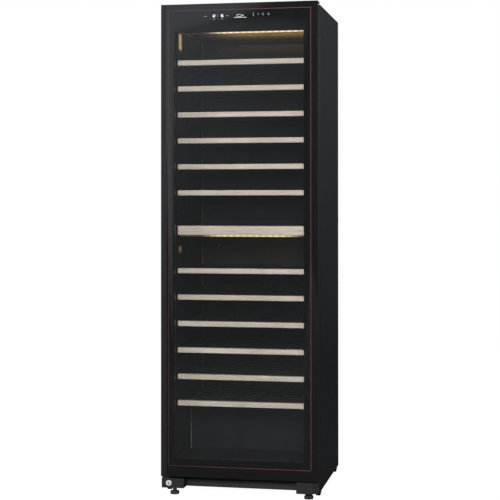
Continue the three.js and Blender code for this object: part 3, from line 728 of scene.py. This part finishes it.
# rubber cushions in the gap over the lock housing, clear of the slot of the tongue
CUSHION_REAR = 28.6
hx0, _, hd0, _, _, hz1 = span("lock_housing")
cushion = Shape()
cushion.bar([(hd0 + 0.8, hz1 - 0.1), (CUSHION_REAR, hz1 - 0.1), (CUSHION_REAR, hz1 + 2.0),
             (CUSHION_REAR - 0.6, hz1 + 2.6), (hd0 + 1.4, hz1 + 2.6), (hd0 + 0.8, hz1 + 2.0)],
            "x", hx0 + 0.8, hx0 + 30, 0.5)
cushion.make("housing_cushion", [gasket_rubber], "cabinet", "gasket")
door_cushion = Shape()
door_cushion.bar([(2.4, gz0 + 0.1), (2.4, gz0 - 1.7), (3.0, gz0 - 2.3), (CUSHION_REAR - 0.6, gz0 - 2.3),
                  (CUSHION_REAR, gz0 - 1.7), (CUSHION_REAR, gz0 + 0.1)], "x", hx0 + 0.6, hx0 + 30, 0.5)
door_cushion.make("door_cushion", [gasket_rubber], "door", "gasket")

# ---- shelves

CRADLES = (-177, -59, 59, 177)  # where bottles lie
CRADLE_HALF, CRADLE_DEPTH = 44, 5.0
RACK_HALF = 235.2  # half the width between the runners
RAIL_DEPTH = 19.8
SLATS, SLAT_START, SLAT_PITCH, SLAT_DEPTH = 5, 48, 66, 38
SLAT_DROP = 4.0  # from the top of the front rail
SLAT_STEPS = 64


def slat_top(x):
    """Height of a slat at x, measured from the top of the front rail."""
    dip = 0.0
    for centre in CRADLES:
        t = abs(x - centre) / CRADLE_HALF
        if t < 1:
            dip = max(dip, CRADLE_DEPTH * math.cos(t * math.pi / 2) ** 1.3)
    return -SLAT_DROP - dip


SLAT_X = [-RACK_HALF + 2 * RACK_HALF * i / SLAT_STEPS for i in range(SLAT_STEPS + 1)]

for number in range(1, 13):
    node, body = f"shelf_{number:02d}", f"shelf_unit_{number:02d}"
    x0, x1, d0, d1, z0, top = span(node)
    front = Shape()
    rail = [(d0, top - 17.6), (d0, top - 1.9), (d0 + 0.55, top - 0.6), (d0 + 1.8, top), (d0 + 18.6, top),
            (d0 + RAIL_DEPTH, top - 1.2), (d0 + RAIL_DEPTH, z0 + 1), (d0 + 18.8, z0), (d0 + 3.2, z0),
            (d0 + 1.1, z0 + 0.8)]
    front.bar(rail, "x", x0, x1, 0.9)
    front.make(f"wood_rail_{number:02d}", [wood_across], body, "wood", [node])
    shelf = Shape()
    rear = [(d1 - 20, z0 + 0.8), (d1 - 20, top - 2.8), (d1 - 19.2, top - 2), (d1 - 0.8, top - 2),
            (d1, top - 2.8), (d1, z0 + 0.8), (d1 - 0.8, z0), (d1 - 19.2, z0)]
    shelf.bar(rear, "x", -RACK_HALF, RACK_HALF)
    for i in range(SLATS):
        d = d0 + SLAT_START + i * SLAT_PITCH
        end = d + SLAT_DEPTH
        rings = []
        for x in SLAT_X:
            z = top + slat_top(x)
            rings.append([(x, d, top - 13.6), (x, d, z - 1.0), (x, d + 1.2, z), (x, end - 1.2, z),
                          (x, end, z - 1.0), (x, end, top - 13.6), (x, end - 0.6, top - 14),
                          (x, d + 0.6, top - 14)])
        shelf.loft(rings)
    for side in (-1, 1):
        a, b = sorted((side * (RACK_HALF + 0.2), side * x1))
        runner = [(a, z0 + 0.8), (a, top - 2.9), (a + 0.9, top - 2), (b - 0.9, top - 2), (b, top - 2.9),
                  (b, z0 + 0.8), (b - 0.8, z0), (a + 0.8, z0)]
        shelf.bar(runner, "d", d0 + 19.95, d1, 0.6)
    for side in (-1, 1):
        for i in range(SLATS):
            at = (side * 244.5, d0 + SLAT_START + SLAT_DEPTH / 2 + i * SLAT_PITCH, top - 2)
            shelf.finish = 1
            shelf.turn([(3.6, -0.2), (3.6, 0.1), (2.9, 0.45)], at, "z", 16)
            # a dark hexagon standing on each screw head: painted shade of its socket
            shelf.finish = 2
            shelf.turn([(1.5, 0.3), (1.5, 0.5)], at, "z", 6)
    shelf.make(f"slatted_rack_{number:02d}", [rack_black, screw_steel, painted_shade], body, "black_steel",
               [node])

x0, x1, d0, d1, z0, z1 = span("divider_front_trim")
trim = Shape()
trim.bar([(d0, z0 + 2), (d0, z1 - 2), (d0 + 0.6, z1 - 0.6), (d0 + 2, z1), (d1, z1), (d1, z0),
          (d0 + 2, z0), (d0 + 0.6, z0 + 0.6)], "x", x0, x1, 0.9)
trim.make("divider_wood_trim", [wood_across], "cabinet", "wood", ["divider_front_trim"])

# ---- fans and duct covers

BLADES = 7
BLADE_ROOT, BLADE_LENGTH = 15, 33
BLADE_RADII = (15.5, 21, 27, 33, 39, 44, 47.5)


def blade_ring(r, turn_by, cx, d, z):
    """One section of a fan blade at radius r: a thin cambered strip round the hub."""
    out = (r - BLADE_ROOT) / BLADE_LENGTH
    half_chord = 0.46 - 0.10 * out
    sweep = 0.32 * out ** 1.4
    pitch = 5.0 - 1.2 * out
    upper, lower = [], []
    for i in range(7):
        t = i / 3 - 1
        angle = turn_by + sweep + t * half_chord
        camber = 1.1 * (1 - t * t)
        thick = 0.55 * (1 - 0.7 * t * t) + 0.12
        depth = d - t * pitch - camber
        point = (cx + r * math.cos(angle), z + r * math.sin(angle))
        upper.append((point[0], depth - thick / 2, point[1]))
        lower.append((point[0], depth + thick / 2, point[1]))
    return upper + lower[::-1]


for zone in ("upper", "lower"):
    x0, x1, d0, d1, z0, z1 = span(f"fan_rotor_{zone}")
    cx, cd, cz = (x0 + x1) / 2, (d0 + d1) / 2, (z0 + z1) / 2
    rotor = Shape()
    for i in range(BLADES):
        turn_by = i * 2 * math.pi / BLADES
        rotor.loft([blade_ring(r, turn_by, cx, cd, cz) for r in BLADE_RADII])
    hub = [(3.0, 4.6), (15.8, 4.6), (17.0, 3.6), (17.0, -2.6), (15.6, -4.0), (12.5, -4.8), (6, -5.2),
           (3.0, -5.2)]
    rotor.turn(hub, (cx, cd, cz), "d", 40, loop=True)
    rotor.finish = 1
    rotor.turn([(2.95, -5.4), (4.4, -5.4), (4.4, -4.9), (2.95, -4.9)], (cx, cd, cz), "d", 24, loop=True)
    rotor.make(f"fan_blades_{zone}", [fan_plastic, screw_steel], f"fan_{zone}", "fan",
               [f"fan_rotor_{zone}"])

    front = span(f"duct_cover_{zone}")[2]
    guard = Shape()
    for radius in (14, 26, 38, 50):
        section = [(radius - 0.9, 0.4), (radius - 0.5, -0.9), (radius + 0.5, -0.9), (radius + 0.9, 0.4)]
        guard.turn(section, (cx, front, cz), "d", 64, loop=True)
    rim = [(52.5, 0.3), (53.2, -1.4), (57.6, -1.4), (59.0, 0.3)]
    guard.turn(rim, (cx, front, cz), "d", 72, loop=True)
    guard.turn([(5.5, 0.3), (5.5, -0.8), (4.8, -1.3)], (cx, front, cz), "d", 24)
    for i in range(6):
        a = math.pi / 6 + i * math.pi / 3
        spoke = [(cx + r * math.cos(a), cz + r * math.sin(a)) for r in (5, 54)]
        guard.stroke(spoke, 1.8, front - 0.7, front + 0.4)
    guard.make(f"fan_guard_{zone}", [duct_plastic], "cabinet", "duct")

    x0, x1, d0, d1, z0, z1 = span(f"duct_cover_{zone}")
    fixings = Shape()
    fixings.screws((x0 + 16, x1 - 16), d0, (z0 + 24, (z0 + z1) / 2 - 60, z1 - 24), -1, 4.2, 1.5)
    fixings.make(f"duct_screws_{zone}", [screw_steel, painted_shade], "cabinet", "bright_steel")

# ---- rear of the cabinet

ROWS, FIRST_ROW, ROW_PITCH = 7, 150, 205  # pressed ribs across the sheet
PAD_ROW = 3  # this row has two stand-off pads instead of a rib
RIB_HALF = 190
REAR_SCREW = (1, 4.6, 1.12)  # which way it faces, radius, height
SCREW_INSET = 11


def rib_outline(z, radius):
    return arc(-RIB_HALF, z, radius, 90, 270, 10) + arc(RIB_HALF, z, radius, -90, 90, 10)


x0, x1, d0, d1, z0, z1 = span("rear_panel")
rear = Shape()
rear.box(x0, x1, d0, REAR_SKIN, z0, z1)
row_heights = [z0 + FIRST_ROW + i * ROW_PITCH for i in range(ROWS)]
for i, z in enumerate(row_heights):
    if i != PAD_ROW:
        rear.loft([[(x, REAR_SKIN - 0.2, edge) for x, edge in rib_outline(z, 15)],
                   [(x, REAR_SKIN + 0.7, edge) for x, edge in rib_outline(z, 10.5)]])
rear.finish = 1
for x in (-90, 90):
    pad = [(16, REAR_SKIN - 0.2), (16, REAR_SKIN + 0.5), (14.5, REAR_SKIN + 0.95), (6, REAR_SKIN + 0.95)]
    rear.turn(pad, (x, 0, row_heights[PAD_ROW]), "d", 36)
sides = (x0 + SCREW_INSET, x1 - SCREW_INSET)
rear.screws(sides, REAR_SKIN, (z0 + 12, z0 + 400, z0 + 790, z0 + 1180, z1 - 12), *REAR_SCREW, 2, 3)
rear.screws((-150, 0, 150), REAR_SKIN, (z1 - 10,), *REAR_SCREW, 2, 3)
rear.make("rear_sheet", [rear_steel, inlet_plastic, screw_steel, painted_shade], "cabinet", "black_steel",
          ["rear_panel"])

x0, x1, d0, d1, z0, z1 = span("machine_bay_grille")
SLOT_ROWS = [(108 + row * 20, 116 + row * 20) for row in range(7)]
SLOT_COLUMNS = [(-255, -105), (-75, 75), (105, 255)]
INLET_CUT = (214, 262, 47, 79)  # round the appliance inlet


def grille_open(x, z):
    if INLET_CUT[0] < x < INLET_CUT[1] and INLET_CUT[2] < z < INLET_CUT[3]:
        return True
    return any(a < z < b for a, b in SLOT_ROWS) and any(a < x < b for a, b in SLOT_COLUMNS)


grille = Shape()
xs = sorted({x0, x1, *INLET_CUT[:2], *(x for pair in SLOT_COLUMNS for x in pair)})
zs = sorted({z0, z1, *INLET_CUT[2:], *(z for pair in SLOT_ROWS for z in pair)})
grille.lattice(xs, zs, d0, REAR_SKIN, grille_open)
for a, b in SLOT_COLUMNS:
    for low, high in SLOT_ROWS:
        louvre = [(d0 + 0.1, high + 0.6), (d0 + 0.1, high - 0.4), (d0 - 5.2, high - 5.6),
                  (d0 - 6.4, high - 8.2), (d0 - 6.9, high - 8.0), (d0 - 5.9, high - 5.1)]
        grille.bar(louvre, "x", a - 1, b + 1)
sides = (x0 + SCREW_INSET, x1 - SCREW_INSET)
grille.screws(sides, REAR_SKIN, (z0 + 12, 90, z1 - 10), *REAR_SCREW, 1, 2)
grille.screw(0, REAR_SKIN, z1 - 10, *REAR_SCREW, 1, 2)
grille.make("louvred_grille", [rear_steel, screw_steel, painted_shade], "cabinet", "black_steel",
            ["machine_bay_grille"])

x0, x1, d0, d1, z0, z1 = span("power_inlet")
pins = Shape()
for dx, dz, wide, tall in ((-9.5, -2, 1.0, 3.2), (9.5, -2, 1.0, 3.2), (0, 4, 3.2, 1.0)):
    x, z = (x0 + x1) / 2 + dx, (z0 + z1) / 2 + dz
    blade = [(x - wide, z - tall), (x + wide, z - tall), (x + wide, z + tall), (x - wide, z + tall)]
    pins.bar(blade, "d", 558, 571.5, 0.6)
pins.make("inlet_pins", [bare_steel], "cabinet", "bright_steel")

# ---- machine bay

x0, x1, d0, d1, z0, z1 = span("compressor")
cx, cd = (x0 + x1) / 2, (d0 + d1) / 2
pump = Shape()
can = [(46, 11), (54, 14), (60, 21), (63, 30), (64, 44), (64, 82), (66.2, 83.5), (66.2, 87.5), (64, 89),
       (63.6, 104), (61.5, 122), (57, 138), (49, 151), (37, 160), (20, 166), (4, 167.9)]
pump.turn([(r, z0 + h) for r, h in can], (cx, cd, 0), "z", 72)
pump.box(cx - 92, cx + 92, cd - 48, cd + 48, z0 + 8, z0 + 12)
pump.finish = 1
terminal_box = [(cx + 55, cd - 23), (cx + 82, cd - 23), (cx + 82, cd + 23), (cx + 55, cd + 23)]
pump.bar(terminal_box, "z", z0 + 66, z0 + 122, 2.5)
pump.finish = 2
grommet = [(9, 0.1), (9, 3), (7.4, 4), (9, 5.2), (9, 7.8), (6.5, 13.6), (3, 14.4)]
for x in (-78, 78):
    for d in (-34, 34):
        pump.turn([(r, z0 + h) for r, h in grommet], (cx + x, cd + d, 0), "z", 24)
pump.make("compressor_shell", [enamel, inlet_plastic, foot_rubber], "cabinet", "compressor",
          ["compressor"])

fx0, fx1, fd0, fd1, fz0, fz1 = span("condenser")
fins = Shape()
FINS, FIN_INSET = 42, 6
for i in range(FINS):
    x = fx0 + FIN_INSET + i * (fx1 - fx0 - 2 * FIN_INSET) / (FINS - 1)
    fins.box(x - 0.2, x + 0.2, fd0 + 1.5, fd1 - 1.5, fz0 + 10, fz1 - 5)
fins.make("condenser_fins", [fin_alu], "cabinet", "condenser")


def bends(points, radius=14, steps=5):
    """A tube's path with its corners rounded."""
    path = [Vector(points[0])]
    for before, at, after in zip(points, points[1:], points[2:]):
        at, a, b = Vector(at), (Vector(before) - Vector(at)), (Vector(after) - Vector(at))
        r = min(radius, a.length * 0.45, b.length * 0.45)
        p, q = at + a.normalized() * r, at + b.normalized() * r
        path += [p.lerp(at, t).lerp(at.lerp(q, t), t) for t in (k / steps for k in range(steps + 1))]
    return path + [Vector(points[-1])]


fd = (fd0 + fd1) / 2
discharge = [(cx + 30, cd, z0 + 150), (cx + 40, cd, z0 + 182), (cx + 96, cd, z0 + 184),
             (cx + 112, fd - 11, z0 + 182), (cx + 114, fd - 11, fz0 + 145), (fx0 + 1, fd - 11, fz0 + 145)]
liquid = [(fx0 + 1, fd + 11, fz0 + 25), (fx0 - 14, fd + 11, fz0 + 25), (fx0 - 14, fd + 40, fz0 + 25),
          (fx0 - 14, fd + 52, fz0 + 80), (fx0 - 14, fd + 52, 259)]
suction = [(cx - 34, cd - 20, z0 + 148), (cx - 40, cd - 30, z0 + 190), (cx - 40, cd - 60, z0 + 196),
           (cx - 40, cd - 60, 261)]
tubes = Shape()
for route, radius in ((discharge, 3.0), (liquid, 3.0), (suction, 4.0)):
    tubes.tube(bends(route), radius)
tubes.make("refrigerant_tubes", [copper], "cabinet", "condenser")

# ---- feet, rollers, brackets


def threaded(r, low, high, pitch=2.5):
    """Profile of a threaded stud."""
    profile = []
    z = low
    while z + pitch <= high:
        profile += [(r - 0.55, z), (r, z + pitch * 0.45), (r, z + pitch * 0.6)]
        z += pitch
    return profile + [(r - 0.55, high)]


GRIP_RIBS = 18


def foot(name, node, rim, nut_z, nut_h):
    """A rubber foot on a stud; rim is its (radius, height) profile and ends at the collar of the stud."""
    x0, x1, d0, d1, z0, z1 = span(node)
    at = ((x0 + x1) / 2, (d0 + d1) / 2, 0)
    made = Shape()
    made.turn(rim, at, "z", 60)
    radius = max(r for r, z in rim)
    for i in range(GRIP_RIBS):
        a = 2 * math.pi * i / GRIP_RIBS
        c = (at[0] + (radius - 0.9) * math.cos(a), at[1] + (radius - 0.9) * math.sin(a), 0)
        made.turn([(0.85, 2.2), (0.85, rim[2][1] + 4.5)], c, "z", 6)
    made.finish = 1
    nut = [(7.0, nut_z), (7.6, nut_z + 0.5), (7.6, nut_z + nut_h - 0.5), (7.0, nut_z + nut_h)]
    made.turn(nut, at, "z", 6)
    made.turn([(4.6, rim[-1][1] - 0.5), (4.6, nut_z + 0.2)], at, "z", 20)
    made.turn(threaded(4.0, nut_z + nut_h - 0.1, z1 - 0.3), at, "z", 24)
    made.make(name, [foot_rubber, screw_steel], node.replace("levelling_foot", "foot"), "foot", [node])


foot("disc_foot_left", "levelling_foot_left",
     [(15.5, 0.02), (16.5, 0.5), (16.9, 1.6), (16.9, 8.8), (16.4, 10.4), (15.0, 11.4), (8, 12.2)],
     12.8, 10.1)
foot("bell_foot_right", "levelling_foot_right",
     [(16.3, 0.02), (17.1, 0.6), (17.4, 1.8), (17.0, 7.6), (15.4, 11), (12.6, 14.4), (9.4, 17.2),
      (7.0, 18.8), (5, 19.6)], 20.4, 4.7)


def mirrored(half):
    return [(r, -h) for r, h in half] + half[::-1]


SPOKES = 5
for end in ("front", "rear"):
    for side in ("left", "right"):
        node = f"roller_{end}_{side}"
        x0, x1, d0, d1, z0, z1 = span(node)
        at = ((x0 + x1) / 2, (d0 + d1) / 2, (z0 + z1) / 2)
        wheel = Shape()
        r = at[2] - 0.03  # the tread just clears the floor
        tyre = [(12.6, 8.3), (16.4, 8.4), (17.9, 7.8), (r, 6.4), (r, 1.1), (r - 0.7, 0.8)]
        wheel.turn(mirrored(tyre), at, "x", 64, loop=True)
        wheel.finish = 1
        hub = [(3.4, 8.2), (5.6, 8.2), (6.2, 5.4), (10.8, 5.4), (11.4, 8.0), (12.65, 8.0)]
        wheel.turn(mirrored(hub), at, "x", 48, loop=True)
        for i in range(SPOKES):
            a = 2 * math.pi * i / SPOKES
            ca, sa = math.cos(a), math.sin(a)
            for near, far in ((-7.4, -5.3), (5.3, 7.4)):
                corners = [(at[1] + u * ca - v * sa, at[2] + u * sa + v * ca)
                           for u, v in ((5.6, -0.9), (11.3, -0.9), (11.3, 0.9), (5.6, 0.9))]
                wheel.bar(corners, "x", at[0] + near, at[0] + far)
        body = f"wheel_{end}_{side}"
        wheel.make(body, [tyre_rubber, hub_nylon], body, "wheel", [node])

hardware = Shape()
x0, x1, d0, d1, z0, z1 = span("upper_hinge_bracket")
hardware.screws((x0 + 8, x1 - 8), d1 - 2.6, (z0 + 9,), -1, 4.2, 1.8)
hardware.make("hinge_screws", [screw_steel, painted_shade], "cabinet", "bright_steel")

# ---- stage, lights, camera

REACH = 5.0  # metres from the middle of the floor to its edge
floor = bpy.data.meshes.new("studio_floor")
corners = [(-REACH, -REACH, 0), (REACH, -REACH, 0), (REACH, REACH, 0), (-REACH, REACH, 0)]
floor.from_pydata(corners, [], [(0, 1, 2, 3)])
floor_object = bpy.data.objects.new("studio_floor", floor)
scene.collection.objects.link(floor_object)
pale = Finish("studio_floor_paint", Specular_IOR_Level=0.0)
pale.set(Base_Color=pale.ramp(pale.noise(3.0, 5), (0.3, (0.044,) * 3), (0.7, (0.052,) * 3)))
pale.set(Roughness=pale.span(pale.noise(40, 3), 0.3, 0.7, 0.8, 0.95))
# white to the camera alone: its white would otherwise light the lower parts from below
seen = pale.node("LightPath", "Is Camera Ray")
reach = pale.node("VectorMath", "Value", {0: pale.place}, operation="LENGTH")
pale.set(Emission_Color=(1.0, 1.0, 1.0, 1.0),
         Emission_Strength=pale.math("MULTIPLY", seen, pale.span(reach, 0.8, 3.5, 0.985, 1.03, True)))
floor.materials.append(pale.material)


def area_light(name, place, target, size, power, colour=(1, 1, 1), height=None, spread=180):
    """A lamp of size by height metres and power watts, turned from place to target."""
    data = bpy.data.lights.new(name, "AREA")
    data.shape = "RECTANGLE"
    data.size = size
    data.size_y = height or size
    data.energy = power
    data.color = colour
    data.spread = math.radians(spread)
    lamp = bpy.data.objects.new(name, data)
    scene.collection.objects.link(lamp)
    lamp.location = place
    lamp.visible_camera = False
    lamp.rotation_euler = (Vector(target) - Vector(place)).to_track_quat("-Z", "Y").to_euler()
    return lamp


MIDDLE = (0, 0, 0.9)
key = area_light("key_light", (0.8, -4.6, 1.9), (0, 0, 0.95), 1.0, 268)
key.visible_glossy = False  # the soft window of the backdrop makes the highlights instead
area_light("left_light", (-3.2, -2.0, 2.0), MIDDLE, 1.6, 60)
area_light("top_light", (0.2, 0.3, 4.4), (0, 0, 0), 2.4, 90)
edge = area_light("edge_light", (4.2, -1.1, 3.0), (0.3, -0.25, 1.3), 2.0, 90)
edge.visible_diffuse = False  # only draws the highlights along the upright edges
area_light("rear_light", (-2.2, 3.6, 2.6), MIDDLE, 1.8, 110)

# what the light bars throw on the liner: a glow behind each bar, and a patch on each left wall
WARM, AMBER = (1.0, 0.66, 0.28), (1.0, 0.6, 0.17)
LEFT_WALL, SPILL_X, SPILL_Y = -0.262, -0.254, -0.128
CEILING_Z = 1.75
BEHIND_BAR = (span("light_bar_upper")[3] + 14) * MM + FACE_Y
area_light("upper_zone_glow", (UPPER_LIT_X, 0.06, 1.655), (UPPER_LIT_X, 0.06, CEILING_Z), 0.40, 1.2,
           AMBER, 0.04, 150)
area_light("upper_left_spill", (SPILL_X, SPILL_Y, 1.714), (LEFT_WALL, SPILL_Y, 1.714), 0.042, 0.088,
           WARM, 0.062, 120)
area_light("lower_zone_glow", (LOWER_LIT_X, BEHIND_BAR, 0.952), (LOWER_LIT_X, BEHIND_BAR + 0.02, 0.984),
           0.34, 0.12, WARM, 0.012)
area_light("lower_left_spill", (SPILL_X, SPILL_Y, 0.912), (LEFT_WALL, SPILL_Y, 0.912), 0.042, 0.01,
           WARM, 0.022, 120)

# a soft window in front on the left, in a dim bluish sky that brightens upwards and to the rear;
# the camera itself sees plain white
WINDOW_TURN, WINDOW_RISE = math.radians(25), 0.36
WINDOW_CORE, WINDOW_EDGE = math.cos(math.radians(8)), math.cos(math.radians(24))
WINDOW_STRENGTH = 0.85
SKY_TINT, WHITE = (0.86, 0.94, 1.06, 1.0), (1.0, 1.0, 1.0, 1.0)
scene.world = bpy.data.worlds.new("studio")
w = Nodes(scene.world)
backdrop = w.tree.nodes["Background"]
direction = w.node("TexCoord", "Generated")
softbox = Vector((-math.sin(WINDOW_TURN), -math.cos(WINDOW_TURN), WINDOW_RISE)).normalized()
toward = w.node("VectorMath", "Value", {0: direction, 1: softbox}, operation="DOT_PRODUCT")
glow = w.span(toward, WINDOW_EDGE, WINDOW_CORE, 0.0, WINDOW_STRENGTH, True)
sky = w.span(w.node("SeparateXYZ", 2, {0: direction}), -0.05, 0.25, 0.046, 0.166)
lean = w.span(w.node("SeparateXYZ", 1, {0: direction}), -1.0, 1.0, 0.25, 1.5)
light = w.math("ADD", glow, w.math("MULTIPLY", sky, lean))
camera_ray = w.node("LightPath", "Is Camera Ray")
w.plug(backdrop.inputs["Strength"], w.node("Mix", 0, {0: camera_ray, 2: light, 3: 1.0}))
w.plug(backdrop.inputs["Color"], w.node("Mix", 2, {0: camera_ray, 6: SKY_TINT, 7: WHITE}, data_type="RGBA"))

# the photograph's camera, as fitted to the corners of the door and the cabinet (degrees)
CAMERA_PLACE = (1.010019, -5.137742, 1.098684)
CAMERA_TURN, CAMERA_TILT, CAMERA_ROLL = 11.2653, 90 + 0.4478, -0.0198
camera_data = bpy.data.cameras.new("camera")
camera = bpy.data.objects.new("camera", camera_data)
scene.collection.objects.link(camera)
scene.camera = camera
camera_data.sensor_width = 36.0
camera_data.lens = 96.1126
camera_data.shift_y = -0.119154
camera_data.clip_end = 100.0
camera.location = CAMERA_PLACE
aim = Matrix.Identity(4)
for degrees, axis in ((CAMERA_TURN, "Z"), (CAMERA_TILT, "X"), (CAMERA_ROLL, "Z")):
    aim = aim @ Matrix.Rotation(math.radians(degrees), 4, axis)
camera.rotation_euler = aim.to_euler()
scene.view_settings.view_transform = "Standard"
